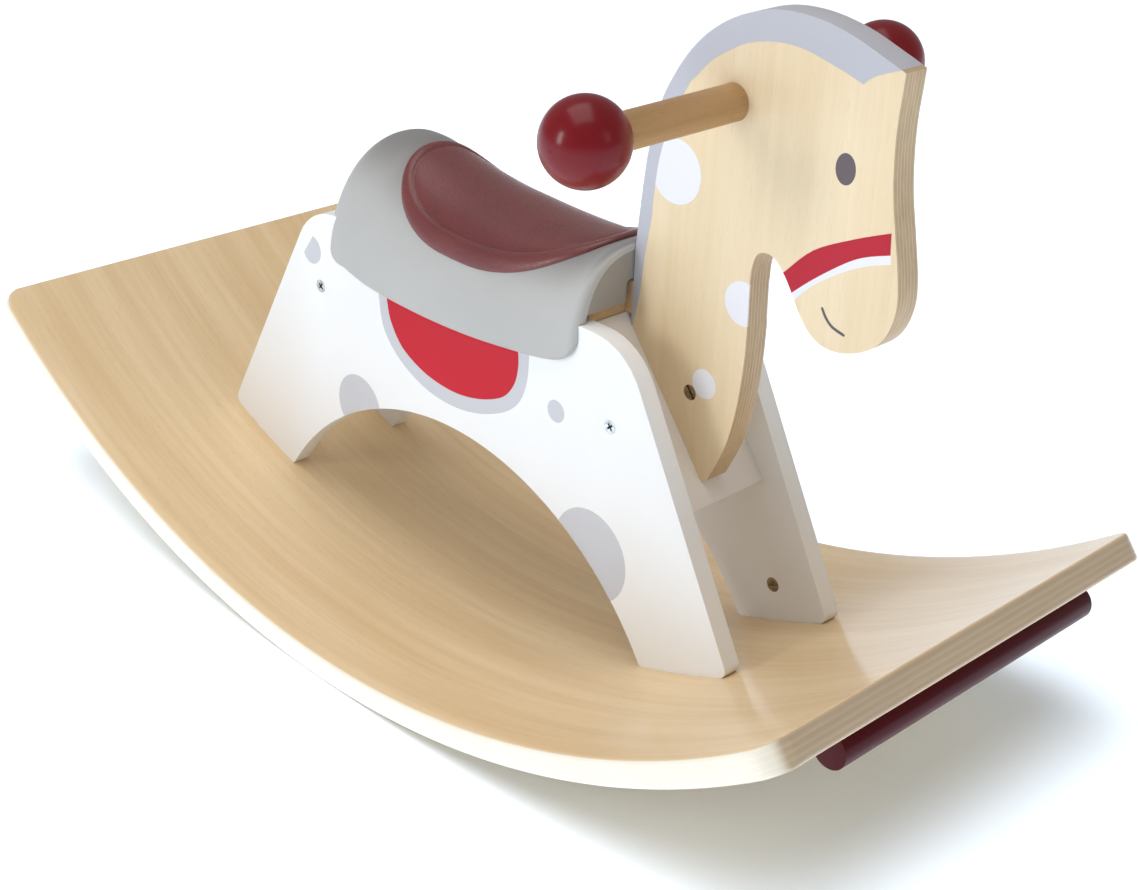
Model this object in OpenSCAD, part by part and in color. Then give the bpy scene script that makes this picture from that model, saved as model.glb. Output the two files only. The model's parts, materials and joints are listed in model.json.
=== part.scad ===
// Child's rocking horse: two side panels, a plywood head and a moulded saddle on a bent plywood rocker.
// +X points to the head, +Y to the horse's left, +Z up. The origin lies under the middle of the board.

/* [Rocker board] */
// Width of the board
board_w = 350; // [300:1:420]
// Length of the chord of the board's upper face
board_chord = 760; // [700:1:820]
// Thickness of the bent plywood
board_t = 18; // [15:0.5:21]
// Radius of the board's upper face
board_r = 613; // [580:1:650]
// Radius of the board's four corners in plan
board_corner_r = 18; // [5:1:40]

/* [Stop bars] */
// Diameter of the round bar that the stop bars are cut from
stop_d = 23; // [18:1:30]
// Length of a stop bar
stop_len = 236; // [160:2:320]
// Distance along the board's underside from its end to the middle of the bar
stop_inset = 21; // [14:1:60]
// Depth of the bar's flat below its axis
stop_axis_drop = 5.5; // [2:0.5:8]

/* [Side panels] */
// Width over the outer faces of the two side panels
body_w = 108; // [96:1:130]
// Thickness of a side panel
panel_t = 13; // [11:0.5:16]
// Height of the panels' top edge above the lowest point of the board's upper face
panel_top = 239; // [225:1:255]
// Half the length of a panel at its feet
foot_reach = 252.5; // [245:0.5:265]
// Half the length of a panel along its top, measured to the sharp corner
top_reach = 153; // [148:1:160]
// Radius of the panels' top corners
panel_corner_r = 45; // [20:1:60]
// Height of the arch between the legs
arch_top = 126; // [110:1:135]
// Radius of the arch between the legs
arch_r = 214; // [205:1:225]

/* [Braces and seat plate] */
// Thickness of the sloping braces
brace_t = 12; // [10:0.5:14]
// Length of a brace along its slope
brace_len = 136; // [120:1:140]
// Lean of the braces from the vertical
brace_lean = 38.6; // [36:0.2:41]
// Distance of the middle of a brace's outer face from the middle of the horse
brace_x = 148; // [144:1:152]
// Height of the middle of a brace above the board
brace_height = 186; // [182:1:190]
// Thickness of the seat plate
plate_t = 12; // [10:0.5:14]
// Height of the seat plate's underside above the board
plate_height = 235; // [233:0.5:237]
// Half the length of the seat plate
plate_reach = 107.5; // [104:0.5:107.5]

/* [Saddle] */
// Wall of the moulded shell
shell_t = 4; // [3:0.5:5]
// Depth of the recess that the pad lies in
recess_depth = 2; // [1:0.25:2.5]
// Height of the pad above the shell round it
pad_proud = 2.5; // [1:0.25:4]
// Half the width of the pad
pad_half_w = 53; // [44:0.5:54]
// Reach of the pad from the middle of the horse towards the head
pad_front = 99; // [85:1:104]
// Reach of the pad from the middle of the horse towards the rear
pad_rear = 87; // [70:1:90]

/* [Head and handle] */
// Thickness of the head
head_t = 18; // [15:1:21]
// Diameter of the handle bar
handle_d = 22; // [18:1:25]
// Distance between the centres of the two knobs
knob_span = 253; // [220:1:280]
// Diameter of a knob
knob_d = 51; // [40:1:60]
// Distance of the handle bar from the middle of the horse
handle_x = 183; // [178:1:188]
// Height of the handle bar above the board
handle_height = 388; // [380:1:395]

/* [Fasteners] */
// Diameter of the barrel nuts in the legs and the neck
nut_d = 10; // [8:0.5:10]
// Thread diameter of the machine bolts
bolt_d = 6; // [5:1:6]
// Diameter of the locating dowels
dowel_d = 6; // [5:1:8]

/* [Hidden] */
$fn = 64;

// Clearance between pieces that are fitted into each other, and between faces that meet
gap = 0.05;
// Clearance round bolts and under washers
slack = 0.4;
// Segments of a whole circle as large as the board's
fine_fn = 360;

deck_z = board_t;
board_centre_z = board_t + board_r;
end_angle = asin(board_chord / 2 / board_r);
stop_angle = end_angle - stop_inset / (board_r + board_t) * 180 / PI;
stop_screw_y = 88;
stop_screw_len = 20;
stop_screw_grip = 9;
stop_screw_depth = stop_screw_len - stop_screw_grip;
corner_slip = 0.02;
foot_toe_r = 6;
foot_heel_r = 3;

panel_y = (body_w - panel_t) / 2;
inner_w = body_w - 2 * panel_t;
panel_top_z = deck_z + panel_top;
arch_z = deck_z + arch_top - arch_r;
brace_z = deck_z + brace_height;
plate_z = deck_z + plate_height;
plate_top_z = plate_z + plate_t;
plate_w = inner_w - slack;
plate_corner_r = 6;
handle_z = deck_z + handle_height;

// Screws
screw_d = 4;
screw_hole_d = screw_d + 2 * gap;
pan_head_h = 2.6;
panel_screw_d = 5;
panel_screw_hole_d = panel_screw_d + 2 * gap;
panel_screw_len = 45;
panel_screw_head_d = 9.5;
plate_screw_y = 22;
plate_screw_rise = 79;
plate_screw_len = 35;

// Machine bolts with their washers, nuts and counterbores
bolt_hole_d = bolt_d + 0.6;
nut_hole_d = nut_d + 2 * gap;
bolt_head_h = 4;
hex_d = 4.6;
washer_t = 1.4;
bolt_past_nut = 8;
nut_slot_w = 1.6;
counterbore_d = 18;
counterbore_depth = 7;

// The legs' bolts stand square to the board under the middle of each foot
leg_angle = 20.5;
leg_nut_lift = 25;
leg_nut_len = 10.6;
dowel_hole_d = dowel_d + 2 * gap;
leg_dowel_step = 24;
leg_dowel_len = 28;
brace_dowel_offset = 38;
brace_dowel_len = 24;
brace_dowel_in = 16;

// Neck
neck_x = 114;
neck_dowel_offset = 28;
neck_dowel_in = 8;
neck_dowel_len = 24;
neck_nut_depth = 23.3;
neck_block_x = 84;
neck_block_h = 9.8;
neck_block_t = head_t - slack;
neck_screw_z = plate_top_z + 5;
neck_screw_len = 45;

// Curves of the head: points along its edge, with heights above the board
crest = [[114, 277], [115.5, 300], [118, 328], [120.5, 346], [127.5, 374], [136, 392], [148, 410], [163, 425],
         [182, 437], [206, 445.5], [232, 447.5], [258, 444], [284, 436], [297.5, 431.5]];
forehead = [[297, 421], [296, 404], [296.5, 385], [299, 363], [304, 340], [308.5, 318], [309.5, 302]];
jaw = [[305, 286], [295.5, 274.5], [281, 267], [266, 264.5], [254, 268.5], [244, 278.5], [234, 294]];
notch = [[225.5, 303.5], [218, 307], [210, 304.5], [206.5, 295]];
chest = [[206, 280], [207, 252], [206.5, 230], [204, 204], [199, 180], [192.5, 162.5]];

// Handle
tenon_d = 14;
tenon_len = 24;
knob_face = sqrt(knob_d ^ 2 - handle_d ^ 2) / 2;
bar_half = knob_span / 2 - knob_face - gap;

// Rows of the saddle's form: station x, half-width, crest height, squareness of the section, hem height
saddle_rows = [[-108, 62, 311.5, 2.1, 229], [-95, 62.5, 311, 2.05, 226], [-82, 63, 306.5, 2, 224],
               [-60, 63.5, 300.5, 2, 222.6], [-30, 64, 295.5, 2, 222], [0, 64, 293, 2.05, 222.4],
               [30, 63.5, 291.5, 2.1, 224], [60, 62, 291.5, 2.2, 226.6], [85, 60.5, 293.5, 2.4, 229.5],
               [98, 59.5, 296.5, 2.6, 232.5], [106, 59, 299.5, 2.8, 237], [111, 58.7, 302, 2.9, 243],
               [113.5, 58.5, 303.5, 2.95, 250]];
section_steps = 26;
// The form's sections are widest at this height
saddle_base_z = 222;
saddle_skirt = 12;
saddle_rear_x = -108;
saddle_rear_len = 45;
rear_hem_z = 241;
rear_round = 0.91;
saddle_wall_x = 108;
saddle_wall_t = 3.5;
saddle_wall_z = 262;
saddle_notch_w = 28;
saddle_notch_z = 276.5;
saddle_screw_x = 70;
saddle_screw_y = 20;
saddle_screw_len = 26;
boss_d = 10;
// Squareness of the pad's outline towards the head and towards the rear
pad_front_square = 2.2;
pad_rear_square = 3;

// ---------- Outlines ----------

// Points of an arc round centre c from angle a0 to angle a1
function arc(c, r, a0, a1, n = 24) =
    [for (i = [0:n]) let (a = a0 + (a1 - a0) * i / n) [c.x + r * cos(a), c.y + r * sin(a)]];

function unit(v) = v / norm(v);

// Arc of radius r that rounds the corner b between a and c
function fillet(a, b, c, r, n = 8) =
    let (u = unit(a - b), v = unit(c - b), half = acos(u * v) / 2)
    let (centre = b + unit(u + v) * r / sin(half))
    let (s = b + u * r / tan(half) - centre, e = b + v * r / tan(half) - centre)
    let (turn = cross(s, e) > 0 ? 1 : -1, sweep = acos(min(1, s * e / (r * r))))
    arc(centre, r, atan2(s.y, s.x), atan2(s.y, s.x) + turn * sweep, n);

// Closed outline through points [x, y] or [x, y, r], with a corner of radius r where one is given
function rounded(p) =
    let (n = len(p), flat = [for (q = p) [q.x, q.y]])
    [for (i = [0:n - 1])
        each len(p[i]) < 3 ? [flat[i]] : fillet(flat[(i + n - 1) % n], flat[i], flat[(i + 1) % n], p[i][2])];

// Smooth curve through every row of p, with k steps between neighbouring rows
function spline(p, k = 6) =
    let (n = len(p))
    [for (i = [0:n - 2])
        let (a = p[max(0, i - 1)], b = p[i], c = p[i + 1], d = p[min(n - 1, i + 2)])
        for (j = [0:(i == n - 2 ? k : k - 1)])
            let (t = j / k)
            b + (c - a) * t / 2 + (2 * a - 5 * b + 4 * c - d) * t ^ 2 / 2
                + (3 * b - a - 3 * c + d) * t ^ 3 / 2];

// Height of the board's upper face at x
function deck(x) = board_centre_z - sqrt(board_r ^ 2 - x ^ 2);

// ---------- Frames that parts are placed in ----------

// Extrudes an outline drawn in X and Z across the horse, centred on the plane Y = 0
module across(w) {
    rotate([90, 0, 0]) linear_extrude(w, center = true) children();
}

// Origin on the board's upper face at angle a, +X forward along it, +Z square to it and upwards
module on_board(a) {
    translate([0, 0, board_centre_z]) rotate([0, -a, 0]) translate([0, 0, -board_r]) children();
}

// Origin in the middle of the front brace's outer face, +X square out of it, +Z up its slope
module on_brace() {
    translate([brace_x, 0, brace_z]) rotate([0, -brace_lean, 0]) children();
}

module both_sides() {
    for (s = [-1, 1]) scale([1, s, 1]) children();
}

module both_ends() {
    for (s = [0, 1]) mirror([s, 0, 0]) children();
}

// One bolt axis per leg
module each_leg() {
    for (a = [-leg_angle, leg_angle], s = [-1, 1]) on_board(a) translate([0, s * panel_y, 0]) children();
}

// ---------- Fasteners ----------

// Cross recess for a screwdriver, cut down from z = 0
module cross_recess(size) {
    for (a = [0, 90]) rotate(a) translate([-size / 2, -size / 8, -size / 3]) cube([size, size / 4, size]);
}

// Countersunk screw with its head's top at z = 0, pointing down
module flat_head_screw(d, head_d, len) {
    head_h = (head_d - d) / 2;
    difference() {
        union() {
            translate([0, 0, -head_h]) cylinder(head_h, d / 2, head_d / 2);
            translate([0, 0, -len + d]) cylinder(len - d, d = d);
            translate([0, 0, -len]) cylinder(d, 0.4, d / 2);
        }
        cross_recess(head_d * 0.55);
    }
}

// Room for a countersunk screw, open upwards
module flat_head_hole(d, head_d, len) {
    head_h = (head_d - d) / 2;
    translate([0, 0, -head_h]) cylinder(head_h, d / 2 + gap, head_d / 2 + gap);
    translate([0, 0, -gap]) cylinder(head_d, d = head_d + 2 * gap);
    translate([0, 0, -len - 1]) cylinder(len + 1, d = d + 2 * gap);
}

// Pan head screw with its head under z = 0, pointing up
module pan_head_screw(d, len) {
    difference() {
        union() {
            translate([0, 0, -pan_head_h]) cylinder(pan_head_h, d = 2 * d);
            cylinder(len - d, d = d);
            translate([0, 0, len - d]) cylinder(d, d / 2, 0.4);
        }
        translate([0, 0, -pan_head_h]) mirror([0, 0, 1]) cross_recess(d * 1.1);
    }
}

// Socket head bolt with its head under z = 0, pointing up
module socket_bolt(len) {
    difference() {
        union() {
            translate([0, 0, -bolt_head_h]) cylinder(bolt_head_h, d = 2 * bolt_d);
            cylinder(len, d = bolt_d);
        }
        translate([0, 0, -bolt_head_h - 1]) cylinder(bolt_head_h, d = hex_d, $fn = 6);
    }
}

module washer(outer_d) {
    difference() {
        cylinder(washer_t, d = outer_d);
        translate([0, 0, -1]) cylinder(washer_t + 2, d = bolt_hole_d);
    }
}

// Barrel nut along Y, with the bolt's hole along Z and a screwdriver slot in the end at -Y
module barrel_nut(len) {
    difference() {
        rotate([90, 0, 0]) cylinder(len, d = nut_d, center = true);
        cylinder(nut_d + 2, d = bolt_d + 2 * gap, center = true);
        translate([-nut_d, -len / 2 - 1, -nut_slot_w / 2]) cube([2 * nut_d, 2.2, nut_slot_w]);
    }
}

// ---------- Rocker board and stop bars ----------

// Takes the corners off one end; the round stands corner_slip proud of tangent, so it
// crosses the board's side and end instead of only touching them
module board_corner_cut() {
    for (s = [-1, 1])
        scale([1, s, 1])
            translate([-board_corner_r, board_w / 2 - board_corner_r, -2 * board_t])
                difference() {
                    cube([2 * board_corner_r, 2 * board_corner_r, 3 * board_t]);
                    translate([corner_slip, corner_slip, -1])
                        cylinder(3 * board_t + 2, r = board_corner_r);
                }
}

module rocker_board() {
    far = 2 * board_r;
    color("burlywood")
        difference() {
            across(board_w)
                translate([0, board_centre_z])
                    intersection() {
                        difference() {
                            circle(board_r + board_t, $fn = fine_fn);
                            circle(board_r, $fn = fine_fn);
                        }
                        polygon([[0, 0], far * [-sin(end_angle), -cos(end_angle)], [0, -far],
                                 far * [sin(end_angle), -cos(end_angle)]]);
                    }
            both_ends() on_board(end_angle) board_corner_cut();
            each_leg() {
                translate([0, 0, -board_t - 1]) cylinder(board_t + 2, d = bolt_hole_d);
                translate([0, 0, -board_t - 1]) cylinder(counterbore_depth + 1, d = counterbore_d + slack);
                for (x = [-1, 1] * leg_dowel_step)
                    translate([x, 0, -leg_dowel_len / 2]) cylinder(board_t, d = dowel_hole_d);
            }
            both_ends()
                on_board(stop_angle)
                    for (y = [-1, 0, 1] * stop_screw_y)
                        translate([0, y, -board_t - 1]) cylinder(stop_screw_depth + 2, d = screw_hole_d);
        }
}

module stop_bar() {
    difference() {
        translate([0, 0, -board_t - stop_axis_drop])
            rotate([90, 0, 0]) cylinder(stop_len, d = stop_d, center = true);
        translate([-stop_d, -stop_len, -board_t - gap]) cube([2 * stop_d, 2 * stop_len, stop_d]);
        for (y = [-1, 0, 1] * stop_screw_y)
            translate([0, y, -board_t - stop_d])
                union() {
                    cylinder(2 * stop_d, d = screw_hole_d);
                    cylinder(stop_d - stop_screw_grip, d = 2 * screw_d + 1);
                }
    }
}

module front_stop_bar() {
    color("maroon") on_board(stop_angle) stop_bar();
}

module rear_stop_bar() {
    color("maroon") mirror([1, 0, 0]) on_board(stop_angle) stop_bar();
}

module stop_bar_screws() {
    color("silver")
        both_ends()
            on_board(stop_angle)
                for (y = [-1, 0, 1] * stop_screw_y)
                    translate([0, y, gap - board_t - stop_screw_grip])
                        pan_head_screw(screw_d, stop_screw_len);
}

// ---------- Side panels ----------

// Outline of a panel: its feet follow the board and its arch is cut between them
function panel_outline() =
    let (drop = board_centre_z - arch_z)
    let (reach = (drop ^ 2 + arch_r ^ 2 - board_r ^ 2) / (2 * drop))
    let (foot_z = arch_z + reach, foot_in = sqrt(arch_r ^ 2 - reach ^ 2), rim = atan2(foot_in, reach))
    let (step = (foot_reach - foot_in) / 5)
    let (sole = [for (i = [1:4]) let (x = foot_reach - i * step) [x, deck(x) + gap]])
    let (toe = [[foot_reach, deck(foot_reach) + gap, foot_toe_r]])
    let (heel = [[foot_in, foot_z + gap, foot_heel_r]])
    let (right = concat([[top_reach, panel_top_z, panel_corner_r]], toe, sole, heel))
    let (left = [for (i = [len(right) - 1:-1:0])
        let (q = right[i])
        concat([-q.x], [for (j = [1:len(q) - 1]) q[j]])])
    let (arch = arc([0, arch_z], arch_r, 90 - rim * 0.97, 90 + rim * 0.97, 60))
    rounded(concat(right, arch, left));

// Panel on the side of -Y, with its holes
module side_panel() {
    difference() {
        translate([0, -panel_y, 0]) across(panel_t) polygon(panel_outline());
        both_ends()
            on_brace() {
                translate([-brace_t / 2, -body_w / 2, 0])
                    rotate([90, 0, 0]) flat_head_hole(panel_screw_d, panel_screw_head_d, panel_screw_len);
                for (z = [-1, 1] * brace_dowel_offset)
                    translate([-brace_t / 2, -inner_w / 2 + 1, z])
                        rotate([90, 0, 0]) cylinder(brace_dowel_len - brace_dowel_in + 1.2, d = dowel_hole_d);
            }
        for (a = [-leg_angle, leg_angle])
            on_board(a) {
                translate([0, -panel_y, -1]) cylinder(leg_nut_lift + bolt_past_nut + 1, d = bolt_hole_d);
                translate([0, -inner_w / 2 + 1, leg_nut_lift])
                    rotate([90, 0, 0]) cylinder(leg_nut_len + 1.6, d = nut_hole_d);
                for (x = [-1, 1] * leg_dowel_step)
                    translate([x, -panel_y, -1]) cylinder(leg_dowel_len / 2 + 2, d = dowel_hole_d);
            }
    }
}

module right_side_panel() {
    color("white") side_panel();
}

module left_side_panel() {
    color("white") mirror([0, 1, 0]) side_panel();
}

// ---------- Braces and seat plate ----------

// Blank of the front brace, with its top end cut level under the seat plate
module brace_blank() {
    intersection() {
        on_brace()
            translate([-brace_t, -inner_w / 2 + gap, -brace_len / 2])
                cube([brace_t, inner_w - 2 * gap, 2 * brace_len]);
        translate([0, -body_w, 0]) cube([2 * brace_x, 2 * body_w, plate_z - gap]);
    }
}

module brace_end_holes() {
    both_sides() {
        translate([-brace_t / 2, -body_w / 2, 0])
            rotate([-90, 0, 0]) cylinder(panel_screw_len + 1, d = panel_screw_hole_d);
        for (z = [-1, 1] * brace_dowel_offset)
            translate([-brace_t / 2, -body_w / 2, z])
                rotate([-90, 0, 0]) cylinder(panel_t + brace_dowel_in + 0.2, d = dowel_hole_d);
    }
}

// Places children on the axis of each screw that runs down into a brace's top end
module each_plate_screw() {
    both_ends()
        on_brace()
            for (y = [-1, 1] * plate_screw_y) translate([-brace_t / 2, y, plate_screw_rise]) children();
}

module front_brace() {
    color("ivory")
        difference() {
            brace_blank();
            on_brace() {
                brace_end_holes();
                rotate([0, 90, 0]) cylinder(3 * brace_t, d = bolt_hole_d, center = true);
                for (z = [-1, 1] * neck_dowel_offset)
                    translate([-neck_dowel_in - 0.2, 0, z])
                        rotate([0, 90, 0]) cylinder(neck_dowel_in + 2, d = dowel_hole_d);
            }
            each_plate_screw() flat_head_hole(screw_d, 2 * screw_d, plate_screw_len + 1);
        }
}

module rear_brace() {
    color("ivory")
        difference() {
            mirror([1, 0, 0])
                difference() {
                    brace_blank();
                    on_brace() brace_end_holes();
                }
            each_plate_screw() flat_head_hole(screw_d, 2 * screw_d, plate_screw_len + 1);
        }
}

module brace_dowels() {
    color("burlywood")
        both_ends()
            on_brace()
                for (s = [-1, 1], z = [-1, 1] * brace_dowel_offset)
                    translate([-brace_t / 2, s * (inner_w / 2 + brace_dowel_len / 2 - brace_dowel_in), z])
                        rotate([90, 0, 0]) cylinder(brace_dowel_len, d = dowel_d, center = true);
}

module panel_screws() {
    color("silver")
        both_ends()
            on_brace()
                both_sides()
                    translate([-brace_t / 2, -body_w / 2, 0])
                        rotate([90, 0, 0])
                            flat_head_screw(panel_screw_d, panel_screw_head_d, panel_screw_len);
}

module seat_plate() {
    w = plate_w / 2;
    r = plate_corner_r;
    color("tan")
        difference() {
            translate([0, 0, plate_z])
                linear_extrude(plate_t)
                    polygon(rounded([[plate_reach, w, r], [-plate_reach, w, r], [-plate_reach, -w, r],
                                     [plate_reach, -w, r]]));
            each_saddle_screw() translate([0, 0, plate_z - 1]) cylinder(plate_t + 2, d = screw_d + slack);
            each_plate_screw() flat_head_hole(screw_d, 2 * screw_d, plate_screw_len + 1);
        }
}

module seat_plate_screws() {
    color("silver") each_plate_screw() flat_head_screw(screw_d, 2 * screw_d, plate_screw_len);
}

// ---------- Leg fixings ----------

module leg_dowels() {
    color("burlywood")
        each_leg()
            for (x = [-1, 1] * leg_dowel_step)
                translate([x, 0, gap - leg_dowel_len / 2]) cylinder(leg_dowel_len, d = dowel_d);
}

module leg_bolts() {
    color("silver")
        each_leg()
            translate([0, 0, counterbore_depth - board_t - washer_t - 2 * gap])
                socket_bolt(board_t - counterbore_depth + leg_nut_lift + bolt_past_nut);
}

module leg_bolt_washers() {
    color("silver")
        each_leg()
            translate([0, 0, counterbore_depth - board_t - washer_t - gap]) washer(counterbore_d - slack);
}

module leg_barrel_nuts() {
    color("darkgoldenrod")
        for (a = [-leg_angle, leg_angle], s = [-1, 1])
            on_board(a)
                scale([1, s, 1])
                    translate([0, (inner_w + leg_nut_len) / 2 + 0.3, leg_nut_lift]) barrel_nut(leg_nut_len);
}

// ---------- Head ----------

// Point on the brace's outer face, s up its slope, lifted off it by the gap
function brace_point(s) =
    let (along = [-sin(brace_lean), cos(brace_lean)], out = [cos(brace_lean), sin(brace_lean)])
    [brace_x, brace_z] + s * along + gap * out;

function head_outline() =
    let (heel = brace_point((brace_x - neck_x) / sin(brace_lean)), toe = brace_point(-56))
    let (curves = concat(spline(crest, 5), spline(concat(forehead, jaw, notch, chest), 5)))
    let (edge = [for (q = curves) [q.x, q.y + deck_z]])
    concat([heel], edge, fillet(edge[len(edge) - 1], toe, brace_point(0), 4));

module head() {
    color("wheat")
        difference() {
            across(head_t) polygon(head_outline());
            translate([handle_x, 0, handle_z])
                rotate([90, 0, 0]) cylinder(2 * head_t, d = handle_d + 2 * gap, center = true);
            on_brace() {
                rotate([0, 90, 0]) cylinder(neck_nut_depth + bolt_past_nut, d = bolt_hole_d);
                translate([neck_nut_depth, 0, 0])
                    rotate([90, 0, 0]) cylinder(2 * head_t, d = nut_hole_d, center = true);
                for (z = [-1, 1] * neck_dowel_offset)
                    translate([-1, 0, z])
                        rotate([0, 90, 0]) cylinder(neck_dowel_len - neck_dowel_in + 1.2, d = dowel_hole_d);
            }
            translate([neck_x - 1, 0, neck_screw_z])
                rotate([0, 90, 0]) cylinder(neck_screw_len - neck_x + neck_block_x + 4, d = screw_hole_d);
        }
}

module neck_dowels() {
    color("burlywood")
        on_brace()
            for (z = [-1, 1] * neck_dowel_offset)
                translate([-neck_dowel_in, 0, z]) rotate([0, 90, 0]) cylinder(neck_dowel_len, d = dowel_d);
}

module neck_bolt() {
    color("silver")
        on_brace()
            translate([-brace_t - washer_t - 2 * gap, 0, 0])
                rotate([0, 90, 0]) socket_bolt(brace_t + neck_nut_depth + bolt_past_nut);
}

module neck_bolt_washer() {
    color("silver")
        on_brace() translate([-brace_t - washer_t - gap, 0, 0]) rotate([0, 90, 0]) washer(counterbore_d);
}

module neck_barrel_nut() {
    color("darkgoldenrod")
        on_brace() translate([neck_nut_depth, 0, 0]) rotate([0, 90, 0]) barrel_nut(head_t - 1.5);
}

// Block on the front of the seat plate that the neck leans against
module neck_block() {
    front = neck_x - 2 * gap;
    color("tan")
        difference() {
            translate([0, -neck_block_t / 2, 0])
                union() {
                    translate([neck_block_x, 0, plate_top_z + gap])
                        cube([front - neck_block_x, neck_block_t, neck_block_h]);
                    translate([plate_reach + gap, 0, plate_z + 0.3])
                        cube([front - plate_reach - gap, neck_block_t, plate_t + 2]);
                }
            translate([neck_block_x - 1, 0, neck_screw_z]) rotate([0, 90, 0]) cylinder(40, d = screw_hole_d);
        }
}

module neck_block_screw() {
    color("silver")
        translate([neck_block_x - gap, 0, neck_screw_z])
            rotate([0, 90, 0]) pan_head_screw(screw_d, neck_screw_len);
}

// ---------- Handle ----------

module handle_bar() {
    color("peru")
        translate([handle_x, 0, handle_z])
            rotate([90, 0, 0]) {
                cylinder(2 * bar_half, d = handle_d, center = true);
                cylinder(2 * (bar_half + tenon_len), d = tenon_d, center = true);
            }
}

// Knob on the end of the bar at -Y
module knob() {
    color("darkred")
        translate([handle_x, -knob_span / 2, handle_z])
            rotate([-90, 0, 0])
                rotate_extrude($fn = 96)
                    difference() {
                        intersection() {
                            circle(d = knob_d);
                            translate([0, -knob_d]) square([knob_d, knob_d + knob_face]);
                        }
                        translate([-1, knob_face - tenon_len - 1]) square([1 + tenon_d / 2 + gap, knob_d]);
                    }
}

module right_knob() {
    knob();
}

module left_knob() {
    mirror([0, 1, 0]) knob();
}

// ---------- Saddle ----------

// Reach and height share of the round rear end at angle a
function rear_share(a) = [sin(a) ^ rear_round, cos(a) ^ rear_round];

// Rows of the rear end, t outside the form
function rear_rows(t) =
    [for (a = [86, 80, 72, 62, 50, 36, 22, 10])
        let (q = saddle_rows[0], s = rear_share(a))
        [saddle_rear_x - (saddle_rear_len + t) * s[0], (q[1] + t) * s[1] - t,
         saddle_base_z + (q[2] - saddle_base_z + t) * s[1] - t, q[3]]];

function saddle_stations(t) = concat(rear_rows(t), spline(saddle_rows, 3));

// Point of a section at angle a from its crest, t outside the form
function section_point(row, a, t) =
    [row[0], sign(a) * (row[1] + t) * abs(sin(a)) ^ (2 / row[3]),
     saddle_base_z + (row[2] - saddle_base_z + t) * max(0, cos(a)) ^ (2 / row[3])];

// Ring of a section, with straight skirts below its widest place
function section_ring(row, t) =
    let (ring = [for (i = [0:section_steps]) section_point(row, 90 * (2 * i / section_steps - 1), t)])
    concat([ring[0] - [0, 0, saddle_skirt]], ring, [ring[section_steps] - [0, 0, saddle_skirt]]);

// Closed solid through rings of equal length, ordered along +X
module loft(rings) {
    n = len(rings[0]);
    m = len(rings);
    sides = [for (i = [0:m - 2], j = [0:n - 1])
        let (k = (j + 1) % n)
        each [[i * n + j, i * n + k, (i + 1) * n + k], [i * n + j, (i + 1) * n + k, (i + 1) * n + j]]];
    ends = [[for (j = [n - 1:-1:0]) j], [for (j = [0:n - 1]) (m - 1) * n + j]];
    polyhedron([for (r = rings) each r], concat(sides, ends));
}

// The saddle's form, t outside its surface
module saddle_form(t) {
    loft([for (q = saddle_stations(t)) section_ring(q, t)]);
}

// Everything above the saddle's hem
module above_hem() {
    rear = [for (a = [80, 65, 50, 35, 20])
        [saddle_rear_x - saddle_rear_len * rear_share(a)[0],
         rear_hem_z - (rear_hem_z - saddle_rows[0][4]) * cos(a) ^ 2]];
    hem = concat([[-2 * body_w, rear_hem_z]], rear, [for (q = spline(saddle_rows, 3)) [q[0], q[4]]]);
    front = [[2 * body_w, hem[len(hem) - 1].y], [2 * body_w, 400], [-2 * body_w, 400]];
    across(2 * body_w) polygon(concat(hem, front));
}

// Outline of the pad in plan, grown by g
function pad_outline(g) =
    [for (a = [0:5:355])
        let (square = abs(a - 180) < 90 ? pad_rear_square : pad_front_square)
        let (reach = abs(a - 180) < 90 ? pad_rear : pad_front)
        [(reach + g) * sign(cos(a)) * abs(cos(a)) ^ (2 / square),
         (pad_half_w + g) * sign(sin(a)) * abs(sin(a)) ^ (2 / square)]];

module pad_column(g) {
    translate([0, 0, saddle_base_z]) linear_extrude(120) polygon(pad_outline(g));
}

// Inside of the shell, up to the wall that closes its front
module saddle_cavity() {
    difference() {
        saddle_form(-shell_t);
        translate([saddle_wall_x, -body_w, saddle_wall_z])
            difference() {
                cube([saddle_wall_t, 2 * body_w, 100]);
                translate([-1, body_w - saddle_notch_w / 2, -1])
                    cube([saddle_wall_t + 2, saddle_notch_w, saddle_notch_z - saddle_wall_z + 1]);
            }
    }
}

// Room for the side panels and all that stands between them
module saddle_clearance() {
    across(body_w + 2 * slack) offset(delta = slack) polygon(panel_outline());
}

module each_saddle_screw() {
    for (x = [-1, 1] * saddle_screw_x, y = [-1, 1] * saddle_screw_y) translate([x, y, 0]) children();
}

module saddle_shell() {
    color("silver")
        difference() {
            union() {
                intersection() {
                    difference() {
                        saddle_form(0);
                        saddle_cavity();
                        difference() {
                            pad_column(slack);
                            saddle_form(-recess_depth);
                        }
                        saddle_clearance();
                    }
                    above_hem();
                }
                intersection() {
                    each_saddle_screw() translate([0, 0, plate_top_z + gap]) cylinder(60, d = boss_d);
                    saddle_form(1 - shell_t);
                }
            }
            each_saddle_screw() translate([0, 0, plate_top_z - 1]) cylinder(18, d = screw_hole_d);
        }
}

module saddle_pad() {
    color("brown")
        difference() {
            intersection() {
                saddle_form(pad_proud);
                pad_column(0);
            }
            saddle_form(2 * gap - recess_depth);
        }
}

module saddle_screws() {
    color("silver")
        each_saddle_screw() translate([0, 0, plate_z - gap]) pan_head_screw(screw_d, saddle_screw_len);
}

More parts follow.
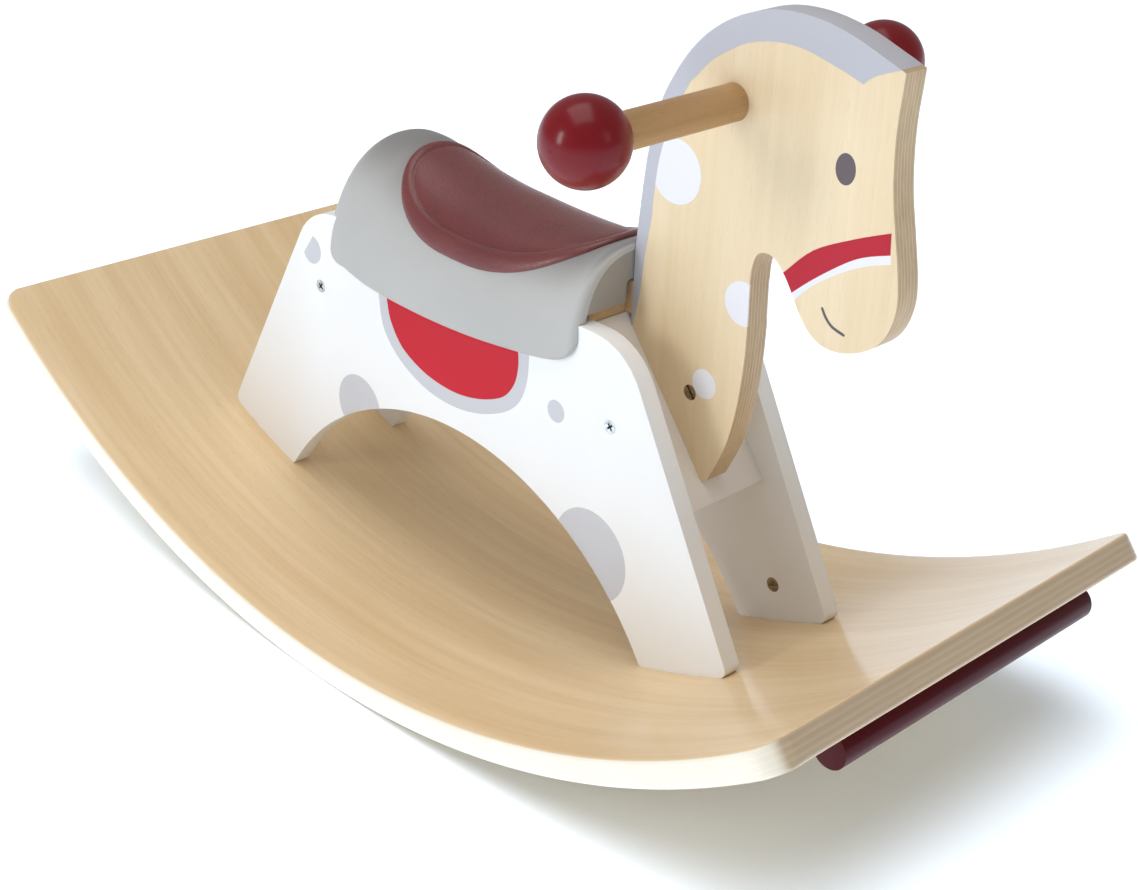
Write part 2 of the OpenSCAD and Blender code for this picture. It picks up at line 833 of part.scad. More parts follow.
rocker_board();
front_stop_bar();
rear_stop_bar();
stop_bar_screws();
right_side_panel();
left_side_panel();
front_brace();
rear_brace();
brace_dowels();
panel_screws();
leg_dowels();
leg_bolts();
leg_bolt_washers();
leg_barrel_nuts();
seat_plate();
seat_plate_screws();
neck_block();
neck_block_screw();
head();
neck_dowels();
neck_bolt();
neck_bolt_washer();
neck_barrel_nut();
handle_bar();
right_knob();
left_knob();
saddle_shell();
saddle_pad();
saddle_screws();
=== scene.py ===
"""Looks of the rocking horse: saddle, pad, painted markings, materials, studio and camera."""
import json
import math
from functools import partial

import bmesh
import bpy
from mathutils import Matrix, Vector


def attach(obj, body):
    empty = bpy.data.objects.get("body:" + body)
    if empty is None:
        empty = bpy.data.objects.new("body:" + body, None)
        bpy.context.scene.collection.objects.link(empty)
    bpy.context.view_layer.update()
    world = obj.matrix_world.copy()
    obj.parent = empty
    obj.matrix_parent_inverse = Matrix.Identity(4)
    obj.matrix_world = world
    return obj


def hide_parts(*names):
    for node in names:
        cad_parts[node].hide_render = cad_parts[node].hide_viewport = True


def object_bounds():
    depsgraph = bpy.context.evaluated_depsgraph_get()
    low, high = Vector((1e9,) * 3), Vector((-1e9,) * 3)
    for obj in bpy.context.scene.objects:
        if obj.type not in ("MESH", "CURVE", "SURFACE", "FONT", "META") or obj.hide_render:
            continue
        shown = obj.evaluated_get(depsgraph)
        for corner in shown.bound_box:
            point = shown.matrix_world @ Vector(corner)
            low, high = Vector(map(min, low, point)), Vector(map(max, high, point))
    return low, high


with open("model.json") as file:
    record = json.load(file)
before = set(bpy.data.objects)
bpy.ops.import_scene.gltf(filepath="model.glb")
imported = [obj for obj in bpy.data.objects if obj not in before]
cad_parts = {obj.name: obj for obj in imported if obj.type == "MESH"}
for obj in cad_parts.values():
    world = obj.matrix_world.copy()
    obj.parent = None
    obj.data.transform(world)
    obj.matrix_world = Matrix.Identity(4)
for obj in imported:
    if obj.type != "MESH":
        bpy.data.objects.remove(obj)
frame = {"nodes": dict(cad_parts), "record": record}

cad_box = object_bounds()
NODES = frame["nodes"]
MM = 0.001
X, Y, Z = 0, 1, 2

# Rocker board in millimetres: radius of its upper face, thickness, half-width, chord and corner radius
BOARD_R, BOARD_T, BOARD_HALF_W, BOARD_CHORD, BOARD_CORNER_R = 613, 18, 175, 760, 18
PLY_LAYERS, HEAD_LAYERS, HEAD_HALF_T = 9, 13, 9


# ---------- Shapes ----------

def solid(name, points, faces, material, angle=40):
    """Closed mesh object from points in millimetres, smooth except where it turns by more than angle."""
    mesh = bpy.data.meshes.new(name)
    bm = bmesh.new()
    verts = [bm.verts.new(Vector(p) * MM) for p in points]
    for f in faces:
        corners = [verts[i] for i in dict.fromkeys(f)]
        if len(corners) > 2:
            bm.faces.new(corners)
    bmesh.ops.remove_doubles(bm, verts=bm.verts, dist=2e-6)
    bmesh.ops.recalc_face_normals(bm, faces=bm.faces)
    bm.to_mesh(mesh)
    bm.free()
    mesh.shade_smooth()
    mesh.set_sharp_from_angle(angle=math.radians(angle))
    piece = bpy.data.objects.new(name, mesh)
    bpy.context.scene.collection.objects.link(piece)
    mesh.materials.append(material)
    return piece


def applied(piece, name):
    """New object with piece's modifiers applied."""
    bpy.context.view_layer.update()
    mesh = bpy.data.meshes.new_from_object(piece.evaluated_get(bpy.context.evaluated_depsgraph_get()))
    copy = bpy.data.objects.new(name, mesh)
    bpy.context.scene.collection.objects.link(copy)
    return copy


def between(a, b, c, d, t):
    """Point at share t of the way from b to c, on the smooth curve through four neighbours."""
    return [q + (r - p) * t / 2 + (2 * p - 5 * q + 4 * r - s) * t**2 / 2
            + (3 * q - p - 3 * r + s) * t**3 / 2 for p, q, r, s in zip(a, b, c, d)]


def neighbours(points, i):
    """The points from i - 1 to i + 2, with the end points repeated past the ends."""
    return [points[min(max(k, 0), len(points) - 1)] for k in range(i - 1, i + 3)]


def spline(points, steps=5):
    """Smooth curve through every point, with steps between neighbouring points."""
    curve = [between(*neighbours(points, i), j / steps) for i in range(len(points) - 1) for j in range(steps)]
    return curve + [list(points[-1])]


def ring_faces(first, n):
    """Faces between the ring of n points that starts at index first and the ring after it."""
    return [[first + i, first + (i + 1) % n, first + n + (i + 1) % n, first + n + i] for i in range(n)]


def ellipse(x, z, rx, rz=None, steps=64):
    """Outline of an ellipse in X and Z."""
    turns = [math.tau * i / steps for i in range(steps)]
    return [(x + rx * math.cos(a), z + (rz or rx) * math.sin(a)) for a in turns]


def stroke(points, width):
    """Outline of a line of that width along points, with round ends."""
    r, quarter = width / 2, math.pi / 2
    line = []
    for i, (x, z) in enumerate(points):
        before, after = points[max(i - 1, 0)], points[min(i + 1, len(points) - 1)]
        line.append((x, z, math.atan2(after[1] - before[1], after[0] - before[0])))

    def cap(x, z, start):
        return [(x + r * math.cos(start - a), z + r * math.sin(start - a))
                for a in (math.pi * k / 8 for k in range(9))]
    left = [(x - r * math.sin(a), z + r * math.cos(a)) for x, z, a in line[1:-1]]
    right = [(x + r * math.sin(a), z - r * math.cos(a)) for x, z, a in line[1:-1]]
    (x0, z0, a0), (x1, z1, a1) = line[0], line[-1]
    return left + cap(x1, z1, a1 + quarter) + right[::-1] + cap(x0, z0, a0 - quarter)


def prism(outlines, y0, y1):
    """Closed mesh object between y0 and y1 over outlines in X and Z."""
    points, faces = [], []
    for outline in outlines:
        k, n = len(points), len(outline)
        points += [(x, y0, z) for x, z in outline] + [(x, y1, z) for x, z in outline]
        faces += ring_faces(k, n)
        faces += [[k + i for i in range(n)], [k + n + i for i in reversed(range(n))]]
    return solid("cutter", points, faces, LOOKS["panel_paint"])


def painted(name, node, outlines, y0, y1, lift, material):
    """Coat of paint on a node: its surface inside the outlines, lifted off it, from y0 to y1."""
    coat = applied(NODES[node], name)
    coat.data.materials.clear()
    coat.data.materials.append(material)
    grow = coat.modifiers.new("lift", "DISPLACE")
    grow.strength, grow.mid_level = lift * MM, 0
    cutter = prism(outlines, y0, y1)
    cut = coat.modifiers.new("cut", "BOOLEAN")
    cut.operation, cut.solver, cut.object = "INTERSECT", "EXACT", cutter
    piece = applied(coat, name)
    for spare in (coat, cutter):
        bpy.data.objects.remove(spare)
    piece.name = name
    piece.data.materials.clear()
    piece.data.materials.append(material)
    piece.data.shade_smooth()
    piece.data.set_sharp_from_angle(angle=math.radians(35))
    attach(piece, "root")
    return piece


def without(piece, nodes, gap, angle):
    """New object: piece with the space of the nodes, grown by gap, taken out of it."""
    cutters = [applied(NODES[node], "cutter") for node in nodes]
    for cutter in cutters:
        grow = cutter.modifiers.new("grow", "DISPLACE")
        grow.strength, grow.mid_level = gap * MM, 0
        cut = piece.modifiers.new("cut", "BOOLEAN")
        cut.operation, cut.solver, cut.object = "DIFFERENCE", "EXACT", cutter
    name = piece.name
    made = applied(piece, name)
    for spare in (piece, *cutters):
        bpy.data.objects.remove(spare)
    made.name = name
    made.data.set_sharp_from_angle(angle=math.radians(angle))
    return made


def ease(node, width, segments=3, angle=35):
    """Rounds a CAD node's edges by width in millimetres, with modifiers only."""
    piece = NODES[node]
    piece.data.shade_smooth()
    weld = piece.modifiers.new("weld", "WELD")
    weld.merge_threshold = 1e-5
    flat = piece.modifiers.new("flat", "DECIMATE")
    flat.decimate_type, flat.angle_limit = "DISSOLVE", math.radians(0.6)
    edge = piece.modifiers.new("edge", "BEVEL")
    edge.width, edge.segments = width * MM, segments
    edge.limit_method, edge.angle_limit = "ANGLE", math.radians(angle)
    edge.miter_outer = "MITER_ARC"
    edge.harden_normals = True


# ---------- Materials ----------

class Look:
    """A material's node tree, built in short calls. Places are in object coordinates, in metres."""

    def __init__(self, name, **sockets):
        self.material = bpy.data.materials.new(name)
        self.material.use_nodes = True
        self.tree = self.material.node_tree
        self.tree.nodes.clear()
        out = self.tree.nodes.new("ShaderNodeOutputMaterial")
        self.shader = self.tree.nodes.new("ShaderNodeBsdfPrincipled")
        self.tree.links.new(self.shader.outputs[0], out.inputs[0])
        for socket, value in sockets.items():
            self.shader.inputs[socket.replace("_", " ")].default_value = value
        place = self.tree.nodes.new("ShaderNodeTexCoord")
        self.place, self.normal = place.outputs["Object"], place.outputs["Normal"]

    def node(self, kind, inputs, **settings):
        made = self.tree.nodes.new("ShaderNode" + kind)
        for key, value in settings.items():
            setattr(made, key, value)
        for key, value in inputs.items():
            if isinstance(value, bpy.types.NodeSocket):
                self.tree.links.new(value, made.inputs[key])
            elif value is not None:
                made.inputs[key].default_value = value
        return made

    def math(self, operation, a, b=None, c=None):
        return self.node("Math", {0: a, 1: b, 2: c}, operation=operation).outputs[0]

    def plus(self, a, b):
        return self.math("ADD", a, b)

    def minus(self, a, b):
        return self.math("SUBTRACT", a, b)

    def times(self, a, b):
        return self.math("MULTIPLY", a, b)

    def absolute(self, a):
        return self.math("ABSOLUTE", a)

    def vector(self, operation, a, b=None):
        made = self.node("VectorMath", {0: a, 1: b}, operation=operation)
        return made.outputs["Value" if operation in ("DOT_PRODUCT", "LENGTH") else "Vector"]

    def part(self, vector, axis):
        return self.node("SeparateXYZ", {0: vector}).outputs[axis]

    def scaled(self, x, y, z):
        """Object coordinates times one scale for each axis."""
        return self.vector("MULTIPLY", self.place, (x, y, z))

    def noise(self, vector, scale=1.0, detail=3.0, rough=0.5, bend=0.0):
        return self.node("TexNoise", {"Vector": vector, "Scale": scale, "Detail": detail,
                                      "Roughness": rough, "Distortion": bend}).outputs[0]

    def step(self, value, low, high, to_low=0.0, to_high=1.0):
        """Smooth change from to_low to to_high as value goes from low to high."""
        return self.node("MapRange", {"Value": value, "From Min": low, "From Max": high,
                                      "To Min": to_low, "To Max": to_high},
                         interpolation_type="SMOOTHSTEP").outputs[0]

    def fraction(self, value, low, high):
        """How far value is on the way from low to high."""
        return self.node("MapRange", {"Value": value, "From Min": low, "From Max": high}).outputs[0]

    def fade(self, share, a, b):
        """Number that goes from a to b as share goes from 0 to 1."""
        return self.plus(self.times(a, self.minus(1.0, share)), self.times(b, share))

    def mix(self, share, a, b):
        """Colour that goes from a to b as share goes from 0 to 1."""
        colour = lambda v: v if isinstance(v, bpy.types.NodeSocket) else (*v, 1)
        return self.node("Mix", {0: share, 6: colour(a), 7: colour(b)}, data_type="RGBA").outputs[2]

    def colour(self, value):
        self.tree.links.new(value, self.shader.inputs["Base Color"])

    def roughness(self, value):
        self.tree.links.new(value, self.shader.inputs["Roughness"])

    def bump(self, height, distance, strength=1.0):
        """Raises the surface by height times distance in millimetres."""
        made = self.node("Bump", {"Height": height, "Distance": distance * MM, "Strength": strength})
        self.tree.links.new(made.outputs[0], self.shader.inputs["Normal"])


def wood_figure(look, along, light, dark, fleck, coarse=1.0):
    """Grain along one axis, or along a bent sheet's two axes: its colour and a height for bump."""
    def grain(scale, stretch, **settings):
        scales = [scale * coarse * (stretch if axis in along else 1) for axis in (X, Y, Z)]
        return look.noise(look.scaled(*scales), **settings)
    cloud = grain(26, 0.10, detail=3, rough=0.5, bend=0.2)
    streak = grain(120, 0.02, detail=4, rough=0.65)
    line = grain(420, 0.03, detail=3, rough=0.6)
    pore = grain(1300, 0.09, detail=1)
    tone = look.plus(look.step(cloud, 0.34, 0.66, 0.0, 0.55), look.step(streak, 0.32, 0.68, 0.0, 0.45))
    colour = look.mix(tone, light, dark)
    colour = look.mix(look.step(line, 0.45, 0.72, 0.0, 0.22), colour, dark)
    colour = look.mix(look.step(pore, 0.62, 0.72, 0.0, 0.22), colour, fleck)
    return colour, look.plus(line, look.times(pore, 0.5))


def ply_layers(look, depth, count, light, dark, glue, seams, fibres=(30, 200, 30)):
    """Stacked veneers across a cut edge: colour and height. Depth goes from 0 to 1 through the sheet."""
    wobble = look.minus(look.noise(look.scaled(60, 60, 60), detail=2), 0.5)
    place = look.times(look.math("MULTIPLY_ADD", wobble, 0.03, depth), count)
    pair = look.times(look.math("FLOOR", place), 0.5)
    every_other = look.times(look.math("FRACT", pair), 2.0)
    fibre = look.noise(look.scaled(*fibres), detail=3, rough=0.65)
    tone = look.plus(look.times(every_other, 0.55), look.step(fibre, 0.3, 0.7, 0.0, 0.45))
    from_middle = look.absolute(look.minus(look.math("FRACT", place), 0.5))
    seam = look.step(from_middle, 0.38, 0.49)
    colour = look.mix(look.times(seam, seams), look.mix(tone, light, dark), glue)
    return colour, look.minus(fibre, seam)


def board_look():
    """Lacquered veneer along the board; pale cream sides and browner sawn ends, whose brown is partly end
    grain and partly painted shade.
    """
    look = Look("board_ply", Coat_Weight=0.4, Coat_Roughness=0.16, Specular_IOR_Level=0.25)
    face, height = wood_figure(look, (X, Z), (0.91, 0.70, 0.43), (0.78, 0.55, 0.295), (0.58, 0.375, 0.18))
    centre_z = (BOARD_R + BOARD_T) * MM
    off = look.vector("SUBTRACT", look.vector("MULTIPLY", look.place, (1, 0, 1)), (0, 0, centre_z))
    facing = look.absolute(look.vector("DOT_PRODUCT", look.vector("NORMALIZE", off), look.normal))
    depth = look.fraction(look.vector("LENGTH", off), BOARD_R * MM, centre_z)
    side, side_height = ply_layers(look, depth, PLY_LAYERS, (0.93, 0.86, 0.73), (0.90, 0.82, 0.67),
                                   (0.78, 0.66, 0.48), 0.25)
    # Partly painted shade: the sawn ends take a much darker brown copy of the ply layers than the sides.
    sawn, _ = ply_layers(look, depth, PLY_LAYERS, (0.60, 0.465, 0.315), (0.51, 0.385, 0.255),
                         (0.42, 0.30, 0.19), 0.2, (160, 12, 160))
    on_side = look.step(look.absolute(look.part(look.normal, Y)), 0.35, 0.75)
    on_edge = look.step(facing, 0.88, 0.66)
    look.colour(look.mix(on_edge, face, look.mix(on_side, sawn, side)))
    look.roughness(look.step(height, 0.3, 0.9, 0.30, 0.42))
    look.bump(look.fade(on_edge, height, side_height), 0.04)
    return look.material


def head_look():
    """Lacquered veneer up the head, with dark and light layers on its sawn edge."""
    look = Look("head_ply", Coat_Weight=0.2, Coat_Roughness=0.3, Specular_IOR_Level=0.4)
    face, height = wood_figure(look, (Z,), (0.87, 0.715, 0.485), (0.80, 0.625, 0.385),
                               (0.70, 0.50, 0.29), 0.8)
    depth = look.fraction(look.part(look.place, Y), -HEAD_HALF_T * MM, HEAD_HALF_T * MM)
    edge, edge_height = ply_layers(look, depth, HEAD_LAYERS, (0.66, 0.49, 0.29), (0.50, 0.345, 0.19),
                                   (0.24, 0.14, 0.07), 0.55, (300, 300, 60))
    on_edge = look.step(look.absolute(look.part(look.normal, Y)), 0.90, 0.68)
    look.colour(look.mix(on_edge, face, edge))
    look.roughness(look.step(height, 0.3, 0.9, 0.38, 0.5))
    look.bump(look.fade(on_edge, height, edge_height), 0.05)
    return look.material


def plain_wood(name, along, light, dark, fleck, coat=0.15, coarse=1.0):
    """Wood with its grain along one axis, under a thin satin lacquer."""
    look = Look(name, Coat_Weight=coat, Coat_Roughness=0.3)
    colour, height = wood_figure(look, (along,), light, dark, fleck, coarse)
    look.colour(colour)
    look.roughness(look.step(height, 0.3, 0.9, 0.40, 0.55))
    look.bump(height, 0.06)
    return look.material


def paint_look(name, tint, worn, rough, coat=0.0, coat_rough=0.1, peel_depth=0.03, uneven=0.0, **sockets):
    """Sprayed paint: slight orange peel, faint unevenness and a worn tint on the rounded edges."""
    look = Look(name, Coat_Weight=coat, Coat_Roughness=coat_rough, **sockets)
    patch = look.noise(look.scaled(9, 9, 9), detail=3)
    darker = tuple(v * (1 - uneven) for v in tint)
    colour = look.mix(look.step(patch, 0.3, 0.7), tint, darker)
    sideways = look.absolute(look.part(look.normal, Y))
    on_round = look.math("MINIMUM", look.step(sideways, 0.12, 0.35), look.step(sideways, 0.985, 0.80))
    chip = look.step(look.noise(look.scaled(420, 420, 420), detail=2), 0.52, 0.66)
    wear = look.times(on_round, look.math("MULTIPLY_ADD", chip, 0.35, 0.12))
    look.colour(look.mix(wear, colour, worn))
    peel = look.noise(look.scaled(700, 700, 700), detail=2)
    look.roughness(look.step(patch, 0.25, 0.75, rough, rough + 0.07))
    look.bump(peel, peel_depth)
    return look.material


def moulded_look(name, light, dark):
    """Soft-touch moulded plastic: fine sparked texture and faint sheen, with painted shade that darkens its
    up-facing top.
    """
    look = Look(name, Sheen_Weight=0.08, Sheen_Roughness=0.5, Specular_IOR_Level=0.35)
    grain = look.noise(look.scaled(1900, 1900, 1900), detail=2, rough=0.6)
    cloud = look.noise(look.scaled(14, 14, 14), detail=3)
    tint = look.mix(look.step(cloud, 0.3, 0.7), light, dark)
    tint = look.mix(look.step(grain, 0.35, 0.65, 0.0, 0.10), tint, (0.40, 0.40, 0.385))
    # Painted shade: the more a surface faces up, the more it is mixed towards dark grey.
    painted_top_shade = look.step(look.part(look.normal, Z), 0.45, 0.98, 0.0, 0.85)
    look.colour(look.mix(painted_top_shade, tint, (0.215, 0.205, 0.20)))
    look.roughness(look.step(grain, 0.3, 0.7, 0.50, 0.60))
    look.bump(grain, 0.035)
    return look.material


def vinyl_look():
    """Padded vinyl skin: pebbled leather grain with fine creases, darkened as painted shade."""
    look = Look("saddle_red", Sheen_Weight=0.35, Sheen_Roughness=0.35, Sheen_Tint=(0.85, 0.62, 0.58, 1),
                Specular_IOR_Level=0.55)
    wander = look.node("TexNoise", {"Vector": look.place, "Scale": 260.0, "Detail": 2.0}).outputs[1]
    bent = look.vector("ADD", look.place, look.vector("MULTIPLY", wander, (0.0012, 0.0012, 0.0012)))
    cells = look.node("TexVoronoi", {"Vector": bent, "Scale": 620.0}, feature="DISTANCE_TO_EDGE")
    pebble = look.step(cells.outputs[0], 0.0, 0.16)
    cloud = look.noise(look.scaled(18, 18, 18), detail=3)
    tint = look.mix(look.step(cloud, 0.3, 0.7), (0.20, 0.040, 0.038), (0.165, 0.032, 0.033))
    # Painted shade: the creases between the pebbles are mixed towards near black.
    crease = look.times(look.minus(1.0, pebble), 0.45)
    look.colour(look.mix(crease, tint, (0.07, 0.012, 0.013)))
    look.roughness(look.step(pebble, 0.0, 1.0, 0.42, 0.29))
    look.bump(look.plus(pebble, look.times(cloud, 0.3)), 0.045)
    return look.material


def metal_look(name, tint, dull, rough):
    """Plated metal: fine brushing and dull patches."""
    look = Look(name, Metallic=1.0)
    patch = look.noise(look.scaled(380, 380, 380), detail=3)
    brush = look.noise(look.scaled(2500, 2500, 400), detail=2)
    look.colour(look.mix(look.step(patch, 0.35, 0.7), tint, dull))
    look.roughness(look.step(patch, 0.3, 0.7, rough, rough + 0.15))
    look.bump(brush, 0.012)
    return look.material


LOOKS = {
    "board_ply": board_look(),
    "head_ply": head_look(),
    "plate_wood": plain_wood("plate_wood", X, (0.70, 0.50, 0.29), (0.56, 0.37, 0.19), (0.35, 0.21, 0.10)),
    "dowel_wood": plain_wood("dowel_wood", Y, (0.66, 0.46, 0.26), (0.52, 0.33, 0.17), (0.33, 0.19, 0.09)),
    "bar_beech": plain_wood("bar_beech", Y, (0.47, 0.275, 0.115), (0.37, 0.20, 0.07), (0.20, 0.09, 0.03),
                            coat=0.25, coarse=1.3),
    "panel_paint": paint_look("panel_paint", (0.90, 0.90, 0.895), (0.80, 0.74, 0.64), 0.33, uneven=0.012),
    # Painted bounce light and shade: the braces' white paint is warmer and darker than the panels' to stand
    # in for light bounced off the wood and the shade between the panels.
    "brace_paint": paint_look("brace_paint", (0.86, 0.825, 0.775), (0.76, 0.69, 0.58), 0.36, uneven=0.02),
    "bar_paint": paint_look("bar_paint", (0.070, 0.003, 0.006), (0.10, 0.015, 0.015), 0.36,
                            coat=0.08, coat_rough=0.12, uneven=0.15, Specular_IOR_Level=0.1),
    "knob_paint": paint_look("knob_paint", (0.18, 0.004, 0.008), (0.20, 0.008, 0.012), 0.36, coat=0.40,
                             coat_rough=0.20, peel_depth=0.012, uneven=0.1, Specular_IOR_Level=0.08),
    "saddle_grey": moulded_look("saddle_grey", (0.50, 0.492, 0.475), (0.475, 0.467, 0.45)),
    "saddle_red": vinyl_look(),
    "zinc_steel": metal_look("zinc_steel", (0.62, 0.63, 0.63), (0.40, 0.41, 0.42), 0.22),
    "nut_brass": metal_look("nut_brass", (0.36, 0.27, 0.16), (0.20, 0.15, 0.09), 0.38),
}
for part in frame["record"]["subparts"]:
    mesh = NODES[part["node"]].data
    mesh.materials.clear()
    mesh.materials.append(LOOKS[part["material_slot"]])

# Painted shade: a darker copy of the saddle's grey plastic for its front wall, standing in for the shade
# between the saddle and the neck.
WALL_SHADED_GREY = moulded_look("wall_grey_painted_shade", (0.33, 0.305, 0.275), (0.30, 0.275, 0.245))
MANE = paint_look("mane_paint", (0.52, 0.52, 0.565), (0.66, 0.66, 0.70), 0.38, uneven=0.03)
SPOT_WHITE = paint_look("spot_white", (0.84, 0.83, 0.86), (0.84, 0.83, 0.86), 0.4, uneven=0.02)
SPOT_GREY = paint_look("spot_grey", (0.585, 0.585, 0.615), (0.66, 0.65, 0.65), 0.36, uneven=0.02)
BAND_RED = paint_look("band_red", (0.50, 0.010, 0.030), (0.50, 0.02, 0.04), 0.42, uneven=0.05,
                      Specular_IOR_Level=0.25)
FLAP_RED = paint_look("flap_red", (0.585, 0.008, 0.024), (0.58, 0.02, 0.04), 0.42, uneven=0.05,
                      Specular_IOR_Level=0.2)
EYE = paint_look("eye_paint", (0.135, 0.105, 0.115), (0.135, 0.105, 0.115), 0.36, uneven=0.05,
                 Specular_IOR_Level=0.3)


# ---------- CAD nodes that stay ----------

ease("head", 2.4, 4)
ease("right_side_panel", 2.6, 4)
ease("left_side_panel", 2.6, 4)
for name in ("front_brace", "rear_brace", "seat_plate"):
    ease(name, 1.2, 3)
ease("neck_block", 0.5, 2)
for name in ("front_stop_bar", "rear_stop_bar"):
    ease(name, 1.6, 4, 50)


# ---------- Rocker board ----------

def bent_board(arris=3.0):
    """The bent sheet with every arris rounded, as sections across it from end to end."""
    half_arc = BOARD_R * math.asin(BOARD_CHORD / 2 / BOARD_R)
    from_end = [0, 0.1, 0.35, 0.8, 1.4, 2.1, 3, 4.5, 6.5, 9, 12, 15, BOARD_CORNER_R]
    straight = half_arc - BOARD_CORNER_R
    plain = [straight * i / 50 - straight for i in range(1, 100)]
    stations = [e - half_arc for e in from_end] + plain + [half_arc - e for e in reversed(from_end)]
    quarter = [math.radians(90 * k / 5) for k in range(6)]
    points, faces = [], []
    for place in stations:
        from_here = half_arc - abs(place)
        off = BOARD_CORNER_R - min(from_here, BOARD_CORNER_R)
        w = BOARD_HALF_W - BOARD_CORNER_R + math.sqrt(BOARD_CORNER_R**2 - off**2)
        inset = arris - math.sqrt(arris**2 - max(0, arris - from_here) ** 2)
        r = max(arris - inset, 0.3)
        corner = [(w - r + r * math.sin(v), inset + r - r * math.cos(v)) for v in quarter]
        flat = [(w - r) * k / 8 for k in range(-7, 8)]
        half = [(y, inset) for y in flat] + corner + [(w, BOARD_T / 2)]
        half += [(y, BOARD_T - d) for y, d in reversed(corner)]
        ring = half + [(-y, BOARD_T - d) for y, d in half]
        angle = place / BOARD_R
        n = len(ring)
        points += [((BOARD_R + d) * math.sin(angle), y, BOARD_R + BOARD_T - (BOARD_R + d) * math.cos(angle))
                   for y, d in ring]
    for i in range(len(stations) - 1):
        faces += ring_faces(i * n, n)
    faces += [list(range(n)), list(range(len(points) - n, len(points)))]
    return solid("board_skin", points, faces, LOOKS["board_ply"], 40)


board = bent_board()
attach(board, "root")
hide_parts("rocker_board")


# ---------- Painted markings ----------

# The outlines are in X and Z, in millimetres, and the same on both sides of the horse
HEAD_FACE, PANEL_FACE, SKIN = 9.0, 54.0, 0.8

mane_edge = spline([(120, 270), (122.4, 298), (125.6, 320), (126.2, 333), (130.7, 366), (146.3, 404.4),
                    (154, 414.5), (165, 426.2), (179, 435.6), (190, 441.4), (204, 445.4), (218, 447.2),
                    (232, 446.6), (246, 443.8), (260, 440.6), (271, 437.4)])
mane_tip = spline([(271, 437.4), (279, 443.7), (294, 450.3), (312, 458)])
mane = mane_edge + mane_tip[1:] + [(312, 520), (60, 520), (60, 230), (112, 230)]
painted("mane", "head", [mane], -12, 12, 0.10, MANE)

band_top = spline([(222, 310), (230.3, 318.2), (249.7, 337.3), (276.6, 351.9), (300.5, 362.6)])
band_line = spline([(301.5, 350.2), (284.9, 343.9), (271.7, 336.1), (251.8, 320.7), (237.6, 308),
                    (228, 299)])
band_low = spline([(302.8, 345.3), (288.2, 339.8), (272.3, 331.5), (252.2, 317.1), (239.6, 304),
                   (232, 296)])
spots = [ellipse(142.7, 354, 20), ellipse(202, 289, 13.8), ellipse(177.2, 228.2, 9.5)]
mouth = stroke(spline([(259.9, 305.4), (263.1, 300.8), (268.1, 296.9), (276.5, 294.8)]), 1.8)

flap = [(-71, 236)] + spline([(-70.1, 213.6), (-66.2, 200.1), (-54.4, 185), (-35, 175.4), (-15.9, 171.4),
                              (2.9, 170.9), (21.2, 174), (37.3, 179.6), (49.5, 186.8), (57.8, 198.4),
                              (60.7, 211.2), (60.2, 221)]) + [(60, 236)]
border = [(-80, 236)] + spline([(-78.9, 214.8), (-74.1, 193.2), (-60.4, 177.4), (-40.7, 166.5),
                                (-21.5, 161.2), (-2.5, 160), (16, 162.2), (34.1, 167.7), (51.6, 176.4),
                                (63.2, 188), (69, 204), (70.2, 220.9)]) + [(70.5, 236)]
cut_spot = spline([(-151.3, 235.2), (-146.4, 232.9), (-143.3, 228.8), (-142.6, 224), (-144.6, 218.8),
                   (-149.6, 215), (-155.2, 214.6), (-159.3, 216.8), (-161.7, 220.3)])
panel_spots = [cut_spot, ellipse(-101, 123, 23), ellipse(96.1, 193.1, 7.5), ellipse(131.6, 104.8, 32)]

for side, sign in (("right", -1), ("left", 1)):
    near, far = sorted((sign * (HEAD_FACE - SKIN), sign * (HEAD_FACE + 1)))
    painted(f"{side}_head_spots", "head", spots, near, far, 0.06, SPOT_WHITE)
    painted(f"{side}_eye", "head", [ellipse(265.6, 389, 6.9, 9)], near, far, 0.08, EYE)
    painted(f"{side}_mouth", "head", [mouth], near, far, 0.08, EYE)
    painted(f"{side}_band_red", "head", [band_top + band_line], near, far, 0.08, BAND_RED)
    painted(f"{side}_band_white", "head", [band_line[::-1] + band_low], near, far, 0.08, SPOT_WHITE)
    near, far = sorted((sign * (PANEL_FACE - SKIN), sign * (PANEL_FACE + 1)))
    node = f"{side}_side_panel"
    painted(f"{side}_panel_spots", node, panel_spots, near, far, 0.06, SPOT_GREY)
    painted(f"{side}_flap_border", node, [border], near, far, 0.08, SPOT_GREY)
    painted(f"{side}_flap", node, [flap], near, far, 0.13, FLAP_RED)


# ---------- Saddle ----------

# Station x, half-width, crest height, squareness of the section, height of the hem
SADDLE_ROWS = [[-108, 62, 311.5, 2.1, 229], [-95, 62.5, 311, 2.05, 226], [-82, 63, 306.5, 2, 224],
               [-60, 63.5, 300.5, 2, 222.6], [-30, 64, 295.5, 2, 222], [0, 64, 293, 2.05, 222.4],
               [30, 63.5, 291.5, 2.1, 224], [60, 62, 291.5, 2.2, 226.6], [85, 60.5, 293.5, 2.4, 229.5],
               [98, 59.5, 296.5, 2.6, 232.5], [106, 59, 299.5, 2.8, 237], [111, 58.7, 302, 2.9, 243],
               [113.5, 58.5, 303.5, 2.95, 250]]
# Foot of the sections, start and length of the round rear end, hem height at its middle, its two powers
BASE_Z, REAR_X, REAR_LEN, REAR_HEM, REAR_SQUARE, REAR_POWER = 222, -108, 45, 241, 2.2, -0.46
# Wall thickness, front end, radius of the front edge, thickness there, steps along each part of the shell
SHELL_T, FRONT_X, FRONT_R, FRONT_T, LONG_STEPS, REAR_STEPS, ROUND_STEPS = 4.0, 113.5, 6.0, 1.5, 88, 72, 9
